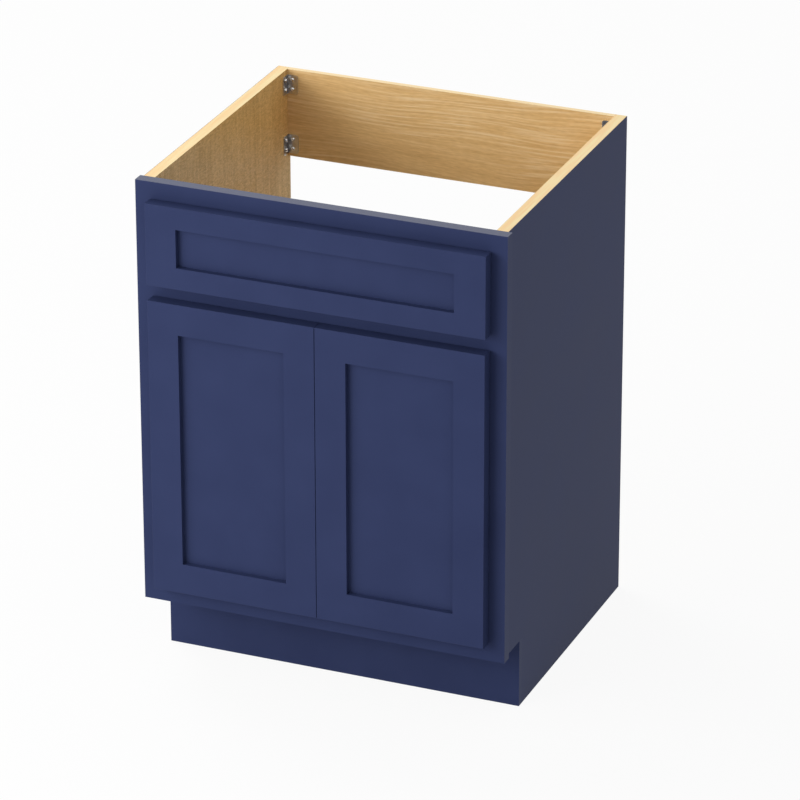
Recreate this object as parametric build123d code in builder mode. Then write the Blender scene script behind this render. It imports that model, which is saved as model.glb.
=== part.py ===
from build123d import *
import os
from collections import defaultdict
from math import hypot

# Framed vanity base cabinet, millimetres. X runs left to right, Y from the doors to the wall,
# Z up from the floor. The origin is under the middle of the cabinet, doors included.

# Overall cabinet
overall_width = 609.6  # across the face frame
overall_height = 825.5  # floor to the top edges that carry the counter
carcass_depth = 533.4  # front of the face frame to the wall

# Carcass boards
side_thickness = 19.0
frame_overhang = 6.0  # face frame past each side panel
bottom_thickness = 12.0
housing_depth = 6.0  # groove in each side panel that carries the bottom panel
back_rail_thickness = 9.0
upper_back_rail_height = 149.6
lower_back_rail_height = 90.0
toe_height = 114.3  # floor to the underside of the face frame
toe_setback = 80.0  # front of the face frame to the toe-kick board
toe_board_thickness = 12.0

# Face frame
frame_thickness = 19.0
frame_stile_width = 38.1
top_rail_height = 39.5
middle_rail_height = 50.0
bottom_rail_height = 43.0
frame_tenon_length = 12.0
frame_tenon_thickness = 7.0
frame_tenon_shoulder = 6.0  # rail edge to tenon edge

# Doors and false drawer front, each of two stiles, two rails and a flat panel
overlay = 12.3  # how far each front covers the frame around its opening
door_side_overlay = 11.6  # the same at the hinge edges of the doors
door_gap = 0.8  # between the two doors
false_front_height = 134.9
front_thickness = 20.6
front_stile_width = 50.8
door_rail_height = 50.8
false_front_rail_height = 35.8
panel_recess = 9.5  # face of the stiles to the panel's groove
panel_thickness = 6.0
groove_depth = 9.5
panel_float = 1.0  # room for the panel at the bottom of its groove
front_edge_radius = 0.6

# Bumpers between the fronts and the face frame
bumper_thickness = 2.4
bumper_radius = 4.0
bumper_from_edge = 6.0  # from the front's top or bottom edge
bumper_from_side = 20.0  # from the front's side edge

# Joinery fits
joint_clearance = 0.1

# Wood screws, the same all over the cabinet
screw_radius = 1.6
screw_length = 9.0  # under the head
screw_tip_length = 3.0
screw_tip_taper = 0.9  # how much the tip narrows, on the radius
screw_head_radius = 3.1
screw_head_height = 1.9
screw_head_round = 1.3
screw_recess_width = 0.8
screw_recess_span = 3.2
screw_recess_depth = 0.9
screw_hole_clearance = 0.2  # in metal

# L-brackets
bracket_height = 32.5
bracket_flange = 19.0
bracket_thickness = 1.6
bracket_corner_radius = 4.5
bracket_hole_spacing = 16.5
bracket_hole_reach = 9.3  # inside corner to the screws
bracket_below_top = 8.8  # top of the upper back rail to the bracket
bracket_above_bottom = 5.3  # bottom of the upper back rail to the bracket

# Concealed hinges: cup in the door, cranked arm on the frame, one pin
hinge_end_distance = 90.0  # top or bottom of the door to the middle of the hinge
pin_radius = 1.25
pin_from_edge = 6.0  # hinge edge of the door to the pin
pin_running_clearance = 0.05
pin_fixed_clearance = 0.02
swing_clearance = 0.6  # between the door's back corner and the frame as the door swings
arm_clearance = 0.2  # more than the swing needs, between that corner and the arm
arm_thickness = 2.4
arm_width = 11.0
arm_finger_drop = 0.5  # finger behind the pin's centre, towards the door's face
arm_neck_depth = 8.0
arm_plate_thickness = 2.5
arm_plate_height = 42.0
arm_plate_margin = 1.5  # plate edge to frame face
arm_hole_spacing = 28.0
knuckle_radius = 2.2
knuckle_gap = 0.3
cup_radius = 17.5
cup_edge_distance = 2.5  # hinge edge of the door to the cup
cup_wall = 0.8
cup_clearance = 0.1
cheek_gap = 0.4
cheek_thickness = 2.0
cheek_length = 10.5
cheek_rise = 3.0  # cheek past the pin's centre, towards the mouth
flange_thickness = 1.2
flange_width = 16.0
flange_length = 56.0
flange_corner_radius = 5.0
flange_hole_spacing = 45.0
flange_hole_offset = 9.5  # cup centre to the screws

# Places that follow from the sizes: Y
overall_depth = carcass_depth + bumper_thickness + front_thickness
front_y = -overall_depth / 2
front_back_y = front_y + front_thickness
frame_front_y = front_back_y + bumper_thickness
frame_mid_y = frame_front_y + frame_thickness / 2
frame_back_y = frame_front_y + frame_thickness
rear_y = frame_front_y + carcass_depth
back_rail_y = rear_y - back_rail_thickness
toe_board_y = frame_front_y + toe_setback
toe_board_back_y = toe_board_y + toe_board_thickness
groove_y = front_y + panel_recess
groove_width = panel_thickness + 2 * joint_clearance

# Places that follow from the sizes: X, measured from the middle
outer_half = overall_width / 2 - frame_overhang
inner_half = outer_half - side_thickness
opening_half = overall_width / 2 - frame_stile_width
false_front_half = opening_half + overlay
doors_half = opening_half + door_side_overlay

# Places that follow from the sizes: Z
top_rail_z = overall_height - top_rail_height
false_front_top = top_rail_z + overlay
false_front_bottom = false_front_top - false_front_height
middle_rail_top = false_front_bottom + overlay
middle_rail_z = middle_rail_top - middle_rail_height
door_top = middle_rail_z + overlay
bottom_rail_top = toe_height + bottom_rail_height
door_bottom = bottom_rail_top - overlay
bottom_z = bottom_rail_top - bottom_thickness
upper_rail_z = overall_height - upper_back_rail_height
lower_rail_top = bottom_rail_top + lower_back_rail_height
hinge_heights = {
    "upper": door_top - hinge_end_distance,
    "lower": door_bottom + hinge_end_distance,
}

# The pin is as deep in the door as lets the door's back corner swing past the frame.
corner_travel = bumper_thickness - swing_clearance
pin_depth = (pin_from_edge**2 - corner_travel**2) / (2 * corner_travel)
pin_y = front_back_y - pin_depth
pin_half = doors_half - pin_from_edge
cup_depth = pin_depth + knuckle_radius + knuckle_gap + cup_wall
cup_half = doors_half - cup_edge_distance - cup_radius
cheek_half = arm_width / 2 + cheek_gap
pin_length = 2 * (cheek_half + cheek_thickness)

sides = {"left": -1, "right": 1}
from_seat = (Align.CENTER, Align.CENTER, Align.MIN)
up_to_seat = (Align.CENTER, Align.CENTER, Align.MAX)

os.makedirs("parts", exist_ok=True)


def save(piece, name):
    piece.part.label = name
    export_step(piece.part, f"parts/{name}.step")


# Screw seats: each plane lies where a screw's head sits, and points into the wood.
pilots = defaultdict(list)
brackets = {}
bracket_seats = []
arm_seats = {}
cup_seats = {}


def add_bracket(name, corner, inward, along, x_board, y_board):
    """L-bracket in the corner of two boards: one flange runs along X, the other along Y."""
    x, y, z = corner
    holes = (z - bracket_hole_spacing / 2, z + bracket_hole_spacing / 2)
    seat_y = y + along * bracket_thickness
    seat_x = x + inward * bracket_thickness
    x_seats = [Plane((x + inward * bracket_hole_reach, seat_y, hole), z_dir=(0, -along, 0)) for hole in holes]
    y_seats = [Plane((seat_x, y + along * bracket_hole_reach, hole), z_dir=(-inward, 0, 0)) for hole in holes]
    pilots[x_board].extend(x_seats)
    pilots[y_board].extend(y_seats)
    bracket_seats.extend(x_seats + y_seats)
    brackets[name] = (corner, inward, along, x_seats + y_seats)


top_bracket_z = overall_height - bracket_below_top - bracket_height / 2
bottom_bracket_z = upper_rail_z + bracket_above_bottom + bracket_height / 2
lower_bracket_z = (bottom_rail_top + lower_rail_top) / 2
false_front_mid_z = (middle_rail_top + top_rail_z) / 2

for side_name, side in sides.items():
    panel = f"{side_name}_side_panel"
    inner_x = side * inner_half
    opening_x = side * opening_half
    top_corner = (inner_x, back_rail_y, top_bracket_z)
    bottom_corner = (inner_x, back_rail_y, bottom_bracket_z)
    lower_corner = (inner_x, back_rail_y, lower_bracket_z)
    toe_corner = (inner_x, toe_board_back_y, toe_height / 2)
    front_corner = (opening_x, front_back_y, false_front_mid_z)
    add_bracket(f"{side_name}_upper_rail_top_bracket", top_corner, -side, -1, "upper_back_rail", panel)
    add_bracket(f"{side_name}_upper_rail_bottom_bracket", bottom_corner, -side, -1, "upper_back_rail", panel)
    add_bracket(f"{side_name}_lower_rail_bracket", lower_corner, -side, -1, "lower_back_rail", panel)
    add_bracket(f"{side_name}_toe_kick_bracket", toe_corner, -side, 1, "toe_kick_board", panel)
    front_stile = f"false_front_{side_name}_stile"
    frame_stile = f"{side_name}_frame_stile"
    add_bracket(f"{side_name}_false_front_bracket", front_corner, -side, 1, front_stile, frame_stile)
    for level, z in hinge_heights.items():
        hinge = f"{side_name}_{level}_hinge"
        plate_x = opening_x - side * arm_plate_thickness
        arm_holes = (z - arm_hole_spacing / 2, z + arm_hole_spacing / 2)
        arm_seats[hinge] = [Plane((plate_x, frame_mid_y, hole), z_dir=(side, 0, 0)) for hole in arm_holes]
        pilots[frame_stile].extend(arm_seats[hinge])
        flange_x = side * (cup_half - flange_hole_offset)
        flange_y = front_back_y + flange_thickness
        cup_holes = (z - flange_hole_spacing / 2, z + flange_hole_spacing / 2)
        cup_seats[hinge] = [Plane((flange_x, flange_y, hole), z_dir=(0, -1, 0)) for hole in cup_holes]
        pilots[f"{side_name}_door_hinge_stile"].extend(cup_seats[hinge])


def drill_pilots(name):
    """Cut the holes of the screws that are driven into the named board."""
    if pilots[name]:
        with Locations(*pilots[name]):
            Cylinder(screw_radius, screw_length, align=from_seat, mode=Mode.SUBTRACT)


def drill_metal(seats, thickness):
    """Cut the clearance holes of the screws that pass through a metal flange."""
    with Locations(*seats):
        Cylinder(screw_radius + screw_hole_clearance, 2 * thickness, mode=Mode.SUBTRACT)


def make_board(name, x_span, y_span, z_span):
    """Plain rectangular board."""
    with BuildPart() as board:
        with BuildSketch(Plane.XY.offset(z_span[0])):
            with Locations((sum(x_span) / 2, sum(y_span) / 2)):
                Rectangle(x_span[1] - x_span[0], y_span[1] - y_span[0])
        extrude(amount=z_span[1] - z_span[0])
        drill_pilots(name)
    save(board, name)


def make_side_panel(name, side):
    """Side panel with its toe notch, and the groove that carries the bottom panel."""
    with BuildPart() as panel:
        with BuildSketch(Plane.YZ.offset(side * inner_half)):
            with BuildLine():
                Polyline(
                    (frame_back_y, toe_height),
                    (toe_board_back_y, toe_height),
                    (toe_board_back_y, 0),
                    (rear_y, 0),
                    (rear_y, overall_height),
                    (frame_back_y, overall_height),
                    close=True,
                )
            make_face()
        extrude(amount=side * side_thickness)
        with BuildSketch(Plane.YZ.offset(side * inner_half)):
            with Locations(((frame_back_y + rear_y) / 2, bottom_z + bottom_thickness / 2)):
                Rectangle(rear_y - frame_back_y, bottom_thickness + 2 * joint_clearance)
        extrude(amount=side * housing_depth, mode=Mode.SUBTRACT)
        drill_pilots(name)
    save(panel, name)


def make_bracket(name, corner, inward, along, seats):
    """Bent steel L-bracket with rounded free corners and two screw holes in each flange."""
    x, y, z = corner
    far_x = x + inward * bracket_flange
    far_y = y + along * bracket_flange
    near_x = x + inward * bracket_thickness
    near_y = y + along * bracket_thickness
    with BuildPart() as bracket:
        with BuildSketch(Plane.XY.offset(z - bracket_height / 2)):
            with BuildLine():
                Polyline(
                    (x, y),
                    (far_x, y),
                    (far_x, near_y),
                    (near_x, near_y),
                    (near_x, far_y),
                    (x, far_y),
                    close=True,
                )
            make_face()
        extrude(amount=bracket_height)
        x_ends = bracket.edges().filter_by(Axis.Y).sort_by(Axis.X, reverse=inward < 0)[-2:]
        y_ends = bracket.edges().filter_by(Axis.X).sort_by(Axis.Y, reverse=along < 0)[-2:]
        fillet(x_ends + y_ends, bracket_corner_radius)
        drill_metal(seats, bracket_thickness)
    save(bracket, name)


def make_frame_stile(name, side, rails):
    """Upright of the face frame, mortised for the rails."""
    with BuildPart() as stile:
        with BuildSketch(Plane.XY.offset(toe_height)):
            with Locations((side * (opening_half + frame_stile_width / 2), frame_mid_y)):
                Rectangle(frame_stile_width, frame_thickness)
        extrude(amount=overall_height - toe_height)
        with BuildSketch(Plane.YZ.offset(side * opening_half)):
            for low, high in rails:
                with Locations((frame_mid_y, (low + high) / 2)):
                    Rectangle(
                        frame_tenon_thickness + 2 * joint_clearance,
                        high - low - 2 * frame_tenon_shoulder + 2 * joint_clearance,
                    )
        extrude(amount=side * (frame_tenon_length + joint_clearance), mode=Mode.SUBTRACT)
        drill_pilots(name)
    save(stile, name)


def make_frame_rail(name, low, high):
    """Cross rail of the face frame, with a tenon at each end."""
    mid_z = (low + high) / 2
    with BuildPart() as rail:
        with BuildSketch(Plane.YZ.offset(-opening_half)):
            with Locations((frame_mid_y, mid_z)):
                Rectangle(frame_thickness, high - low)
        extrude(amount=2 * opening_half)
        with BuildSketch(Plane.YZ.offset(-opening_half - frame_tenon_length)):
            with Locations((frame_mid_y, mid_z)):
                Rectangle(frame_tenon_thickness, high - low - 2 * frame_tenon_shoulder)
        extrude(amount=2 * (opening_half + frame_tenon_length))
    save(rail, name)


def make_front_stile(name, outer_x, inner_x, z_span, cup_heights=()):
    """Upright of a door or false front: grooved for the panel, eased edges, bored for hinge cups."""
    groove_mid_x = inner_x + (groove_depth if outer_x > inner_x else -groove_depth) / 2
    with BuildPart() as stile:
        with BuildSketch(Plane.XY.offset(z_span[0])):
            with Locations(((outer_x + inner_x) / 2, (front_y + front_back_y) / 2)):
                Rectangle(abs(outer_x - inner_x), front_thickness)
            with Locations((groove_mid_x, groove_y + groove_width / 2)):
                Rectangle(groove_depth, groove_width, mode=Mode.SUBTRACT)
        extrude(amount=z_span[1] - z_span[0])
        face_edges = stile.faces().sort_by(Axis.Y)[0].edges()
        outer_edges = [edge for edge in face_edges if abs(edge.center().X - inner_x) > groove_depth]
        fillet(outer_edges, front_edge_radius)
        for z in cup_heights:
            cup_x = cup_half if outer_x > 0 else -cup_half
            with BuildSketch(Plane((cup_x, front_back_y, z), z_dir=(0, -1, 0))):
                Circle(cup_radius + cup_clearance)
            extrude(amount=cup_depth + cup_clearance, mode=Mode.SUBTRACT)
        drill_pilots(name)
    save(stile, name)


def make_front_rail(name, x_span, outer_z, inner_z):
    """Cross rail of a door or false front: grooved for the panel, with a stub tenon at each end."""
    groove_end_z = inner_z + (groove_depth if outer_z > inner_z else -groove_depth)
    tenon_length = groove_depth - joint_clearance
    length = x_span[1] - x_span[0]
    groove_mid_y = groove_y + groove_width / 2
    with BuildPart() as rail:
        with BuildSketch(Plane.YZ.offset(x_span[0])):
            with Locations(((front_y + front_back_y) / 2, (outer_z + inner_z) / 2)):
                Rectangle(front_thickness, abs(outer_z - inner_z))
            with Locations((groove_mid_y, (inner_z + groove_end_z) / 2)):
                Rectangle(groove_width, groove_depth, mode=Mode.SUBTRACT)
        extrude(amount=length)
        face_edges = rail.faces().sort_by(Axis.Y)[0].edges().filter_by(Axis.X)
        fillet(face_edges.sort_by(Axis.Z, reverse=outer_z < inner_z)[-1], front_edge_radius)
        with BuildSketch(Plane.YZ.offset(x_span[0] - tenon_length)):
            with Locations((groove_mid_y, (outer_z + groove_end_z) / 2)):
                Rectangle(panel_thickness, abs(outer_z - groove_end_z))
        extrude(amount=length + 2 * tenon_length)
    save(rail, name)


def make_front(prefix, stile_names, x_span, z_span, rail_height, cup_sides=()):
    """Door or false front of five pieces, each front's panel floating in its grooves."""
    inner_x = (x_span[0] + front_stile_width, x_span[1] - front_stile_width)
    inner_z = (z_span[0] + rail_height, z_span[1] - rail_height)
    for end in (0, 1):
        heights = hinge_heights.values() if end in cup_sides else ()
        make_front_stile(f"{prefix}_{stile_names[end]}_stile", x_span[end], inner_x[end], z_span, heights)
    make_front_rail(f"{prefix}_bottom_rail", inner_x, z_span[0], inner_z[0])
    make_front_rail(f"{prefix}_top_rail", inner_x, z_span[1], inner_z[1])
    reach = groove_depth - panel_float
    panel_y = groove_y + joint_clearance
    make_board(
        f"{prefix}_panel",
        (inner_x[0] - reach, inner_x[1] + reach),
        (panel_y, panel_y + panel_thickness),
        (inner_z[0] - reach, inner_z[1] + reach),
    )


def make_bumpers(name, spots):
    """Group of soft round bumpers stuck to the back of a front, each spot an (x, z) place."""
    with BuildPart() as bumpers:
        with BuildSketch(Plane.XZ.offset(-front_back_y)):
            with Locations(*spots):
                Circle(bumper_radius)
        extrude(amount=-bumper_thickness)
    save(bumpers, name)


def make_hinge_arm(name, side, z, seats):
    """Cranked steel arm: plate on the frame's edge, neck, and a finger that reaches back to the pin."""
    pin_x = side * pin_half
    edge_x = side * opening_half
    door_corner_reach = hypot(pin_from_edge, pin_depth) + arm_clearance
    crank_near_x = pin_x - side * door_corner_reach
    crank_far_x = crank_near_x - side * arm_thickness
    finger_y = pin_y - arm_finger_drop
    finger_low_y = finger_y - arm_thickness / 2
    finger_high_y = finger_y + arm_thickness / 2
    neck_y = frame_front_y + arm_plate_margin
    plate_depth = frame_thickness - 2 * arm_plate_margin
    with BuildPart() as arm:
        with BuildSketch(Plane.XY.offset(z - arm_width / 2)):
            with BuildLine():
                Polyline(
                    (pin_x, finger_low_y),
                    (crank_far_x, finger_low_y),
                    (crank_far_x, neck_y + arm_neck_depth),
                    (edge_x, neck_y + arm_neck_depth),
                    (edge_x, neck_y),
                    (crank_near_x, neck_y),
                    (crank_near_x, finger_high_y),
                    (pin_x, finger_high_y),
                    close=True,
                )
            make_face()
            with Locations((pin_x, pin_y)):
                Circle(knuckle_radius)
        extrude(amount=arm_width)
        with BuildSketch(Plane.XY.offset(z - arm_plate_height / 2)):
            with Locations((edge_x - side * arm_plate_thickness / 2, frame_mid_y)):
                Rectangle(arm_plate_thickness, plate_depth)
        extrude(amount=arm_plate_height)
        with Locations((pin_x, pin_y, z)):
            Cylinder(pin_radius + pin_running_clearance, 2 * arm_width, mode=Mode.SUBTRACT)
        drill_metal(seats, arm_plate_thickness)
    save(arm, name)


def make_hinge_cup(name, side, z, seats):
    """Round cup let into the door: screw flange, two cheeks that hold the pin, and a relieved wall."""
    mouth = Plane((side * cup_half, front_back_y, z), x_dir=(-side, 0, 0), z_dir=(0, -1, 0))
    pocket_radius = cup_radius - cup_wall
    pocket_depth = cup_depth - cup_wall
    cheek_x = cheek_length / 2 - cup_radius
    cheek_y = cheek_half + cheek_thickness / 2
    wall_relief = pin_from_edge - cup_edge_distance
    with BuildPart() as cup:
        with BuildSketch(mouth):
            Circle(cup_radius)
        extrude(amount=cup_depth)
        with BuildSketch(mouth):
            with Locations((flange_hole_offset, 0)):
                RectangleRounded(flange_width, flange_length, flange_corner_radius)
        extrude(amount=-flange_thickness)
        with BuildSketch(mouth.offset(-flange_thickness)):
            Circle(pocket_radius)
        extrude(amount=flange_thickness + pin_depth - cheek_rise, mode=Mode.SUBTRACT)
        with BuildSketch(mouth):
            Circle(pocket_radius)
            with Locations((cheek_x, cheek_y), (cheek_x, -cheek_y)):
                Rectangle(cheek_length, cheek_thickness, mode=Mode.SUBTRACT)
            with Locations((-cup_radius, 0)):
                Rectangle(2 * wall_relief, 2 * cheek_half)
        extrude(amount=pocket_depth, mode=Mode.SUBTRACT)
        with Locations((side * pin_half, pin_y, z)):
            Cylinder(pin_radius + pin_fixed_clearance, pin_length, mode=Mode.SUBTRACT)
        drill_metal(seats, flange_thickness)
    save(cup, name)


# One wood screw at the origin, its head's seat on the XY plane and its point up.
with BuildPart() as screw:
    Cylinder(screw_head_radius, screw_head_height, align=up_to_seat)
    fillet(screw.edges().sort_by(Axis.Z)[0], screw_head_round)
    Cylinder(screw_radius, screw_length, align=from_seat)
    chamfer(screw.edges().sort_by(Axis.Z)[-1], screw_tip_length, screw_tip_taper)
    with BuildSketch(Plane.XY.offset(-screw_head_height)):
        Rectangle(screw_recess_span, screw_recess_width)
        Rectangle(screw_recess_width, screw_recess_span)
    extrude(amount=screw_recess_depth, mode=Mode.SUBTRACT)


def make_screws(name, seats):
    """Group of wood screws, one on each seat."""
    with BuildPart() as screws:
        with Locations(*seats):
            add(screw.part)
    save(screws, name)


def both_ways(half):
    return (-half, half)


# Carcass
make_side_panel("left_side_panel", sides["left"])
make_side_panel("right_side_panel", sides["right"])
bottom_half = inner_half + housing_depth - joint_clearance
make_board("bottom_panel", both_ways(bottom_half), (frame_back_y, rear_y), (bottom_z, bottom_rail_top))
make_board("toe_kick_board", both_ways(outer_half), (toe_board_y, toe_board_back_y), (0, toe_height))
make_board("upper_back_rail", both_ways(inner_half), (back_rail_y, rear_y), (upper_rail_z, overall_height))
make_board("lower_back_rail", both_ways(inner_half), (back_rail_y, rear_y), (bottom_rail_top, lower_rail_top))

# Face frame
frame_rails = {
    "top_frame_rail": (top_rail_z, overall_height),
    "middle_frame_rail": (middle_rail_z, middle_rail_top),
    "bottom_frame_rail": (toe_height, bottom_rail_top),
}
for rail_name, (low, high) in frame_rails.items():
    make_frame_rail(rail_name, low, high)
for side_name, side in sides.items():
    make_frame_stile(f"{side_name}_frame_stile", side, frame_rails.values())

# False drawer front, held by two brackets and kept level with the doors by bumpers
front_span = both_ways(false_front_half)
false_front_z = (false_front_bottom, false_front_top)
make_front("false_front", ("left", "right"), front_span, false_front_z, false_front_rail_height)
bumper_x = false_front_half - bumper_from_side
make_bumpers(
    "false_front_bumpers",
    [
        (x, z)
        for x in both_ways(bumper_x)
        for z in (false_front_bottom + bumper_from_edge, false_front_top - bumper_from_edge)
    ],
)

# Brackets and their screws
for bracket_name, placing in brackets.items():
    make_bracket(bracket_name, *placing)
make_screws("bracket_screws", bracket_seats)

# Doors, hinged at their outer edges
for side_name, side in sides.items():
    door = f"{side_name}_door"
    meeting_x = side * door_gap / 2
    hinge_x = side * doors_half
    stile_names = ("hinge", "meeting") if side < 0 else ("meeting", "hinge")
    door_span = (min(meeting_x, hinge_x), max(meeting_x, hinge_x))
    make_front(
        door, stile_names, door_span, (door_bottom, door_top), door_rail_height, [stile_names.index("hinge")]
    )
    spot_x = meeting_x + side * bumper_from_side
    spots = [(spot_x, door_bottom + bumper_from_edge), (spot_x, door_top - bumper_from_edge)]
    make_bumpers(f"{door}_bumpers", spots)

# Hinges
for side_name, side in sides.items():
    names = {level: f"{side_name}_{level}_hinge" for level in hinge_heights}
    for level, z in hinge_heights.items():
        make_hinge_arm(f"{names[level]}_arm", side, z, arm_seats[names[level]])
        make_hinge_cup(f"{names[level]}_cup", side, z, cup_seats[names[level]])
    with BuildPart() as pins:
        with Locations(*[(side * pin_half, pin_y, z) for z in hinge_heights.values()]):
            Cylinder(pin_radius, pin_length)
    save(pins, f"{side_name}_hinge_pins")
    door_seats = [seat for name in names.values() for seat in cup_seats[name]]
    make_screws(f"{side_name}_hinge_cup_screws", door_seats)
make_screws("hinge_arm_screws", [seat for seats in arm_seats.values() for seat in seats])
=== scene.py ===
import math

import bmesh
import bpy
from mathutils import Matrix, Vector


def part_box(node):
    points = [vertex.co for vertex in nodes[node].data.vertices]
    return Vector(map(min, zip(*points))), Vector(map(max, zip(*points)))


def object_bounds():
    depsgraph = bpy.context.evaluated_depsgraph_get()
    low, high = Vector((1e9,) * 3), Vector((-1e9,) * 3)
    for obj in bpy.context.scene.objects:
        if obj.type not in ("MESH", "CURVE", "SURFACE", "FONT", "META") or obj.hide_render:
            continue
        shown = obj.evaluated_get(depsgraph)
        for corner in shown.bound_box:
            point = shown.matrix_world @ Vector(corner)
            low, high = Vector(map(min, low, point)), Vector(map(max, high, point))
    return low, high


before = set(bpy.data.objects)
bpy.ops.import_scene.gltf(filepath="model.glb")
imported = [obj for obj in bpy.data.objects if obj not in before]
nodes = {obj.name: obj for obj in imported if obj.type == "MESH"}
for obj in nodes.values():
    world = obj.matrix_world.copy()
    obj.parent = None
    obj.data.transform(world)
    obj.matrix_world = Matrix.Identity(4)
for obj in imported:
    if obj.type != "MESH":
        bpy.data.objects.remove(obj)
cad_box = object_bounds()

# Side panels: two upright plywood boards that carry the cabinet, cut away at the toe. Outside they
# are sprayed navy, and inside they keep a clear-coated veneer that turns greyer low down and towards
# the front. The sawn edges stay bare, because a counter and a wall hide them.


class Wire:
    """A socket in a finish's node tree. Arithmetic on wires adds Math nodes."""

    def __init__(self, tree, socket=None):
        self.tree = tree
        self.socket = socket

    def node(self, kind, settings=None, sockets=None, output=0):
        """Add a node: its settings first, then the values or wires of its sockets."""
        made = self.tree.nodes.new(kind)
        for name, value in (settings or {}).items():
            setattr(made, name, value)
        for name, value in (sockets or {}).items():
            if isinstance(value, Wire):
                self.tree.links.new(value.socket, made.inputs[name])
            else:
                made.inputs[name].default_value = value
        return Wire(self.tree, made.outputs[output] if made.outputs else None)

    def math(self, operation, first, second):
        return self.node("ShaderNodeMath", {"operation": operation}, {0: first, 1: second})

    def __add__(self, other):
        return self.math("ADD", self, other)

    def __sub__(self, other):
        return self.math("SUBTRACT", self, other)

    def __rsub__(self, other):
        return self.math("SUBTRACT", other, self)

    def __mul__(self, other):
        return self.math("MULTIPLY", self, other)

    def __gt__(self, other):
        return self.math("GREATER_THAN", self, other)

    def __abs__(self):
        return self.math("ABSOLUTE", self, 0.0)

    __radd__ = __add__
    __rmul__ = __mul__


def start_finish(name):
    """An empty material, and the wire to the surface point in the cabinet's own frame."""
    material = bpy.data.materials.new(name)
    material.use_nodes = True
    material.node_tree.nodes.clear()
    start = Wire(material.node_tree)
    return material, start.node("ShaderNodeTexCoord", output="Object")


def end_finish(point, sockets):
    """Close a finish with its shader."""
    shader = point.node("ShaderNodeBsdfPrincipled", {}, sockets)
    point.node("ShaderNodeOutputMaterial", {}, {"Surface": shader})


def axis(point, name):
    """One coordinate of a point."""
    return point.node("ShaderNodeSeparateXYZ", {}, {"Vector": point}, output=name)


def clouds(point, per_metre, detail):
    """Cloudy value about one half, with that many clouds in a metre of X, Y and Z."""
    laid = point.node("ShaderNodeMapping", {}, {"Vector": point, "Scale": per_metre})
    return point.node("ShaderNodeTexNoise", {}, {"Vector": laid, "Scale": 1.0, "Detail": detail})


def swings(point, per_metre, detail):
    """Clouds about zero."""
    return clouds(point, per_metre, detail) - 0.5


def stretch(value, low, high):
    """The part of a value between low and high, drawn out from 0 to 1."""
    return value.node("ShaderNodeMapRange", {}, {"Value": value, "From Min": low, "From Max": high})


def spread(cloud, reach):
    """The part of a cloudy value within that reach of one half, drawn out from 0 to 1."""
    return stretch(cloud, 0.5 - reach, 0.5 + reach)


def blend(share, under, over):
    """Colour that goes from under to over as the share goes from 0 to 1."""
    colour_a = 6
    colour_b = 7
    colour_out = 2
    sockets = {"Factor": share, colour_a: under, colour_b: over}
    return share.node("ShaderNodeMix", {"data_type": "RGBA"}, sockets, output=colour_out)


def bump(height, distance):
    """Relief as deep as that distance where the height goes from 0 to 1."""
    return height.node("ShaderNodeBump", {}, {"Height": height, "Distance": distance, "Strength": 1.0})


def coat(names, material):
    """Put a finish on CAD nodes."""
    for name in names:
        mesh = nodes[name].data
        mesh.materials.clear()
        mesh.materials.append(material)


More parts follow.
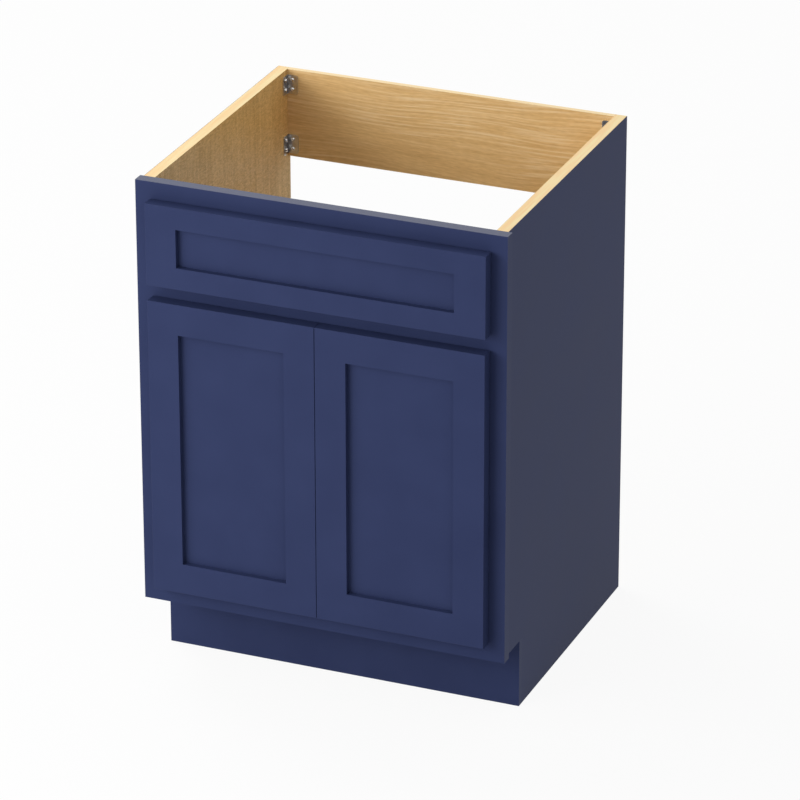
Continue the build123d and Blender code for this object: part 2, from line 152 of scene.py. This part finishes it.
def side_panel_finish():
    """Paint, veneer or bare plies, by how far out from the cabinet's middle the surface lies."""
    navy = (0.0285, 0.0385, 0.0985, 1)
    navy_light = (0.0315, 0.0425, 0.107, 1)
    golden_dark = (0.565, 0.349, 0.123, 1)
    golden_light = (0.805, 0.543, 0.228, 1)
    grey_dark = (0.50, 0.39, 0.25, 1)
    grey_light = (0.86, 0.68, 0.45, 1)
    bare_edge = (0.92, 0.65, 0.35, 1)
    bare_edge_light = (0.92, 0.755, 0.435, 1)
    painted_face = 0.2984
    veneer_face = 0.2801
    edge_middle = 0.2893
    edge_half = 0.0095
    golden_height = 0.835
    grey_height = 0.750
    grey_slope = 0.37
    low_front_greyness = 0.52
    patch_greyness = 0.2
    tuft_greyness = 0.3
    fleck_scale = (420, 180, 560)
    grain_scale = (420, 150, 8)
    patch_scale = (5, 5, 7)
    tuft_scale = (110, 50, 130)
    ply_scale = (230, 14, 9)
    spray_scale = (9, 9, 9)
    peel_scale = (900, 900, 900)
    fleck_share = 0.62
    mottle_reach = 0.17
    paler_to_right = 0.2
    pale_low = 0.43
    pale_high = 0.77
    spray_reach = 0.2
    veneer_roughness = 0.56
    paint_roughness = 0.38
    spray_roughness = 0.06
    fleck_relief = 0.3
    peel_relief = 0.35
    relief_depth = 0.00008
    shine = 0.031
    material, point = start_finish("side_panel")
    across = axis(point, "X")
    from_middle = abs(across)
    painted = from_middle > painted_face
    sawn = from_middle > veneer_face

    flecks = clouds(point, fleck_scale, detail=1)
    grain = clouds(point, grain_scale, detail=2)
    mottle = spread(flecks * fleck_share + grain * (1 - fleck_share), mottle_reach)
    golden = blend(mottle, golden_dark, golden_light)
    grey = blend(mottle, grey_dark, grey_light)
    low_front = stretch(axis(point, "Z") + axis(point, "Y") * grey_slope, golden_height, grey_height)
    patches = swings(point, patch_scale, detail=3)
    tufts = swings(point, tuft_scale, detail=2)
    greyness = low_front * low_front_greyness + patches * patch_greyness + tufts * tuft_greyness
    veneer = blend(greyness, golden, grey)

    over_edge = across - across.math("SIGN", across, 0.0) * edge_middle
    to_right = stretch(over_edge, -edge_half, edge_half)
    plies = clouds(point, ply_scale, detail=2)
    pale = stretch(plies + to_right * paler_to_right, pale_low, pale_high)
    edge = blend(pale, bare_edge, bare_edge_light)

    spray = clouds(point, spray_scale, detail=2)
    paint = blend(spread(spray, spray_reach), navy, navy_light)
    peel = clouds(point, peel_scale, detail=1)

    colour = blend(painted, blend(sawn, veneer, edge), paint)
    rough = veneer_roughness - painted * (veneer_roughness - paint_roughness) + spray * spray_roughness
    relief = flecks * (1 - painted) * fleck_relief + peel * painted * peel_relief
    end_finish(
        point,
        {
            "Base Color": colour,
            "Roughness": rough,
            "Specular IOR Level": shine,
            "Normal": bump(relief, relief_depth),
        },
    )
    return material


coat(("left_side_panel", "right_side_panel"), side_panel_finish())

# Upper and lower back rails: long strips of veneered ply between the side panels, flush with
# their backs. They square the carcass and take the screws into the wall. The grain runs along
# them in slow waves, and their sawn long edges are bare.


def long_grain(point, along, across, sway):
    """Growth bands, fine streaks and short pores along a board that sway across it by so many metres."""
    sway_scale = (2.2, 4.5, 1)
    band_scale = (1.5, 110, 1)
    streak_scale = (9, 270, 1)
    pore_scale = (75, 430, 1)
    run = axis(point, along)
    rise = axis(point, across)
    face = point.node("ShaderNodeCombineXYZ", {}, {"X": run, "Y": rise})
    bent = rise + swings(face, sway_scale, detail=1) * sway
    bent_face = point.node("ShaderNodeCombineXYZ", {}, {"X": run, "Y": bent})
    bands = clouds(bent_face, band_scale, detail=2)
    streaks = clouds(bent_face, streak_scale, detail=2)
    pores = clouds(bent_face, pore_scale, detail=1)
    return bands, streaks, pores


def back_rail_finish():
    """Swaying grain with pale streaks and bare long edges. The streaks are painted paler towards the right
    end: painted light that stands in for the left side panel's shade on the rail's left end.
    """
    wood_dark = (0.65, 0.395, 0.155, 1)
    wood_light = (0.90, 0.61, 0.27, 1)
    wood_pale = (0.94, 0.75, 0.48, 1)
    bare_edge = (0.90, 0.70, 0.40, 1)
    edge_depth = 0.0006
    half_length = 0.3
    figure_scale = (4, 4, 12)
    grain_sway = 0.08
    band_share = 0.2
    streak_share = 0.45
    pore_share = 0.35
    grain_reach = 0.19
    paler_to_right = 0.15
    pale_low = 0.42
    pale_high = 0.7
    pale_streak_low = 0.45
    pale_streak_high = 0.75
    most_pale = 0.7
    roughness = 0.42
    streak_roughness = 0.12
    relief_depth = 0.00006
    shine = 0.25
    rail_edges = [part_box(name)[end].z for name in ("upper_back_rail", "lower_back_rail") for end in (0, 1)]
    material, point = start_finish("back_rail")
    height = axis(point, "Z")
    bands, streaks, pores = long_grain(point, "X", "Z", grain_sway)
    grain = bands * band_share + streaks * streak_share + pores * pore_share
    colour = blend(spread(grain, grain_reach), wood_dark, wood_light)
    figure = clouds(point, figure_scale, detail=2)
    # Painted shade: the pale streaks fade towards the left end, where the left side panel shades the rail,
    # on top of the wood's own cloudy figure.
    to_right = stretch(axis(point, "X"), -half_length, half_length)
    figure_and_painted_light = stretch(figure + to_right * paler_to_right, pale_low, pale_high)
    pale_streaks = stretch(streaks, pale_streak_low, pale_streak_high)
    colour = blend(pale_streaks * figure_and_painted_light * most_pale, colour, wood_pale)
    sawn = sum(edge_depth - abs(height - edge) > 0.0 for edge in rail_edges)
    colour = blend(sawn, colour, bare_edge)
    end_finish(
        point,
        {
            "Base Color": colour,
            "Roughness": roughness + streaks * streak_roughness,
            "Specular IOR Level": shine,
            "Normal": bump(streaks, relief_depth),
        },
    )
    return material


coat(("upper_back_rail", "lower_back_rail"), back_rail_finish())

# Bottom panel: a thin veneered ply floor that slides into a groove in each side panel and rests
# behind the frame's bottom rail. Clear coated, with the grain from side to side.


def bottom_panel_finish():
    """Quiet grain from side to side."""
    wood_dark = (0.58, 0.36, 0.14, 1)
    wood_light = (0.80, 0.54, 0.24, 1)
    grain_sway = 0.06
    band_share = 0.4
    streak_share = 0.3
    pore_share = 0.3
    grain_reach = 0.14
    roughness = 0.42
    streak_roughness = 0.1
    relief_depth = 0.00005
    shine = 0.25
    material, point = start_finish("bottom_panel")
    bands, streaks, pores = long_grain(point, "X", "Y", grain_sway)
    grain = bands * band_share + streaks * streak_share + pores * pore_share
    end_finish(
        point,
        {
            "Base Color": blend(spread(grain, grain_reach), wood_dark, wood_light),
            "Roughness": roughness + streaks * streak_roughness,
            "Specular IOR Level": shine,
            "Normal": bump(streaks, relief_depth),
        },
    )
    return material


coat(("bottom_panel",), bottom_panel_finish())

# Toe-kick board and face frame: hardwood strips, tenoned and glued at the frame's corners, then
# sprayed navy as one. The grain shows faintly through the satin paint, along each strip, and the
# frame's top edge has a clear sealing coat where the counter is glued down.


def navy_finish(name, fibre_scale):
    """Satin paint over fibres that run along one axis, with the seal at the very top."""
    navy = (0.0285, 0.0385, 0.0985, 1)
    navy_light = (0.0315, 0.0425, 0.107, 1)
    seal_depth = 0.0002
    seal_weight = 0.8
    seal_roughness = 0.25
    spray_scale = (11, 11, 11)
    peel_scale = (800, 800, 800)
    spray_reach = 0.2
    roughness = 0.36
    spray_roughness = 0.08
    fibre_relief = 0.5
    peel_relief = 0.3
    relief_depth = 0.00006
    shine = 0.035
    below_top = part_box("top_frame_rail")[1].z - seal_depth
    material, point = start_finish(name)
    sealed = axis(point, "Z") > below_top
    spray = clouds(point, spray_scale, detail=2)
    peel = clouds(point, peel_scale, detail=1)
    fibres = clouds(point, fibre_scale, detail=3)
    relief = fibres * fibre_relief + peel * peel_relief
    end_finish(
        point,
        {
            "Base Color": blend(spread(spray, spray_reach), navy, navy_light),
            "Roughness": roughness + spray * spray_roughness,
            "Specular IOR Level": shine,
            "Coat Weight": sealed * seal_weight,
            "Coat Roughness": seal_roughness,
            "Normal": bump(relief, relief_depth),
        },
    )
    return material


navy_upright = navy_finish("navy_paint_upright", fibre_scale=(420, 420, 14))
navy_across = navy_finish("navy_paint_across", fibre_scale=(14, 420, 420))
coat(("toe_kick_board", "top_frame_rail", "middle_frame_rail", "bottom_frame_rail"), navy_across)
coat(("left_frame_stile", "right_frame_stile"), navy_upright)

# False drawer front: two stiles, two rails and a flat panel held in their grooves, painted navy
# like the frame. It never opens, because the sink bowl hangs behind it.
coat(("false_front_left_stile", "false_front_right_stile"), navy_upright)
coat(("false_front_top_rail", "false_front_bottom_rail", "false_front_panel"), navy_across)

# Doors: the same five-piece make as the false front, hinged at their outer edges. Uprights and
# panels have upright grain under the paint, and the rails have theirs across.
for side in ("left", "right"):
    uprights = ("hinge_stile", "meeting_stile", "panel")
    crosswise = ("top_rail", "bottom_rail")
    coat([f"{side}_door_{piece}" for piece in uprights], navy_upright)
    coat([f"{side}_door_{piece}" for piece in crosswise], navy_across)

# L-brackets: bent strips of zinc-plated steel, screwed into the corners where the boards
# meet. The plating is a little cloudy, and the rolled strip leaves fine lines along it.


def steel_finish(name, colour, colour_light, roughness):
    """Cloudy plating between two tones, over upright rolling lines."""
    cloud_scale = (120, 120, 120)
    line_scale = (900, 900, 60)
    cloud_reach = 0.15
    cloud_roughness = 0.12
    line_depth = 0.00002
    material, point = start_finish(name)
    cloud = clouds(point, cloud_scale, detail=3)
    lines = clouds(point, line_scale, detail=2)
    end_finish(
        point,
        {
            "Base Color": blend(spread(cloud, cloud_reach), colour, colour_light),
            "Metallic": 1.0,
            "Roughness": roughness + cloud * cloud_roughness,
            "Normal": bump(lines, line_depth),
        },
    )
    return material


bracket_grey = (0.60, 0.60, 0.60, 1)
bracket_light = (0.73, 0.73, 0.72, 1)
bracket_steel = steel_finish("bracket_steel", bracket_grey, bracket_light, roughness=0.25)
coat([name for name in nodes if name.endswith("_bracket")], bracket_steel)

# Screws: small pan-head wood screws with a cross recess, bright zinc plated. They hold the
# brackets and the hinges.
screw_grey = (0.74, 0.74, 0.75, 1)
screw_light = (0.88, 0.88, 0.87, 1)
screw_steel = steel_finish("screw_steel", screw_grey, screw_light, roughness=0.14)
coat([name for name in nodes if name.endswith("_screws")], screw_steel)

# Hinges: a pressed cup let into each door, a cranked arm on the frame and a pin through both,
# all nickel plated.
hinge_grey = (0.48, 0.47, 0.45, 1)
hinge_light = (0.62, 0.61, 0.58, 1)
hinge_steel = steel_finish("hinge_steel", hinge_grey, hinge_light, roughness=0.24)
hinge_pieces = [name for name in nodes if name.endswith(("_hinge_arm", "_hinge_cup", "_hinge_pins"))]
coat(hinge_pieces, hinge_steel)

# Bumpers: soft clear domes stuck to the backs of the doors and the false front, which keep the
# painted faces apart.


def bumper_finish():
    """Slightly hazy clear plastic."""
    clear = (0.55, 0.55, 0.54, 1)
    hazy = (0.68, 0.68, 0.66, 1)
    haze_scale = (300, 300, 300)
    haze_reach = 0.2
    roughness = 0.3
    haze_roughness = 0.2
    haze_depth = 0.00003
    material, point = start_finish("bumper")
    haze = clouds(point, haze_scale, detail=2)
    end_finish(
        point,
        {
            "Base Color": blend(spread(haze, haze_reach), clear, hazy),
            "Roughness": roughness + haze * haze_roughness,
            "Normal": bump(haze, haze_depth),
        },
    )
    return material


coat([name for name in nodes if name.endswith("_bumpers")], bumper_finish())

# Studio: a plain pale floor that keeps the cabinet's shadow, a white surround, broad soft lamps
# at the front left and behind the left, and the camera that took the picture.


def background_rays(point):
    """1 for the rays that show the background itself, 0 for those that light the cabinet."""
    kinds = ("Is Camera Ray", "Is Glossy Ray", "Is Transmission Ray")
    camera, glossy, clear = (point.node("ShaderNodeLightPath", output=kind) for kind in kinds)
    return camera.math("MAXIMUM", camera.math("MAXIMUM", camera, glossy), clear)


def add_floor():
    half_size = 20.0
    floor_white = (0.75, 0.75, 0.75, 1)
    white_share = 0.92
    shape = bmesh.new()
    bmesh.ops.create_grid(shape, x_segments=1, y_segments=1, size=half_size)
    mesh = bpy.data.meshes.new("floor")
    shape.to_mesh(mesh)
    shape.free()
    floor = bpy.data.objects.new("floor", mesh)
    bpy.context.scene.collection.objects.link(floor)
    material, point = start_finish("floor")
    seen = background_rays(point) * white_share
    matt = point.node("ShaderNodeBsdfDiffuse", {}, {"Color": floor_white})
    white = point.node("ShaderNodeEmission", {}, {"Color": (1, 1, 1, 1), "Strength": 1.0})
    mixed = point.node("ShaderNodeMixShader", {}, {0: seen, 1: matt, 2: white})
    point.node("ShaderNodeOutputMaterial", {}, {"Surface": mixed})
    mesh.materials.append(material)


def add_surround():
    light_level = 0.575
    world = bpy.data.worlds.new("surround")
    world.use_nodes = True
    world.node_tree.nodes.clear()
    start = Wire(world.node_tree)
    seen = background_rays(start)
    strength = light_level + seen * (1 - light_level)
    white = start.node("ShaderNodeBackground", {}, {"Color": (1, 1, 1, 1), "Strength": strength})
    start.node("ShaderNodeOutputWorld", {}, {"Surface": white})
    bpy.context.scene.world = world


def facing(azimuth, elevation):
    """Turn of a lamp or camera that looks back at the cabinet from that side and that height."""
    straight_down = 90
    turn = Matrix.Rotation(math.radians(azimuth), 4, "Z")
    return turn @ Matrix.Rotation(math.radians(straight_down - elevation), 4, "X")


def add_lamp(name, azimuth, elevation, distance, size, level):
    """Square soft lamp, aimed at the cabinet's middle and as bright as that level of light there."""
    lamp = bpy.data.lights.new(name, "AREA")
    lamp.shape = "SQUARE"
    lamp.size = size
    lamp.energy = level * (math.pi * distance) ** 2
    holder = bpy.data.objects.new(name, lamp)
    middle = Matrix.Translation((0, 0, (cad_box[0].z + cad_box[1].z) / 2))
    holder.matrix_world = middle @ facing(azimuth, elevation) @ Matrix.Translation((0, 0, distance))
    bpy.context.scene.collection.objects.link(holder)


def add_camera():
    place = (2.7878, -6.7104, 3.6953)
    azimuth = 22.367
    elevation = 24.3875
    roll = -0.082
    lens = 227.15
    sensor = 36.0
    camera = bpy.data.cameras.new("camera")
    camera.lens = lens
    camera.sensor_width = sensor
    holder = bpy.data.objects.new("camera", camera)
    lean = Matrix.Rotation(math.radians(roll), 4, "Z")
    holder.matrix_world = Matrix.Translation(place) @ facing(azimuth, elevation) @ lean
    bpy.context.scene.collection.objects.link(holder)
    bpy.context.scene.camera = holder


bpy.context.scene.view_settings.view_transform = "Standard"
add_floor()
add_surround()
add_camera()
add_lamp("key", azimuth=-50, elevation=26, distance=3.4, size=1.6, level=0.32)
add_lamp("fill", azimuth=-25, elevation=15, distance=3.4, size=1.6, level=0.355)
add_lamp("back_light", azimuth=-120, elevation=45, distance=6.0, size=2.8, level=0.4)
